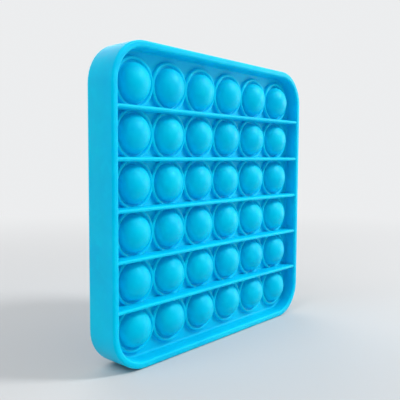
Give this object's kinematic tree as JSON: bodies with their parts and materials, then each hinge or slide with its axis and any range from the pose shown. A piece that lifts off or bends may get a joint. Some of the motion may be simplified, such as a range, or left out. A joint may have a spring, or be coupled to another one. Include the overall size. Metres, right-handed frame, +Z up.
{
  "type": "bubble pop fidget toy",
  "caption": "Square soft silicone board with rows of press-through bubbles between thin ribs, in a deep rounded rim that it stands on.",
  "frame": {"origin": "middle of the bottom edge's footprint, where the board stands", "axes": "+X to the right, +Y from the bubbles' side to the cups' side, +Z up along the board's height"},
  "size_m": [0.125, 0.015, 0.125],
  "materials": {
    "silicone": "satin moulded silicone, through-coloured cyan blue"
  },
  "bodies": {
    "root": {"board": "silicone"}
  },
  "joints": []
}
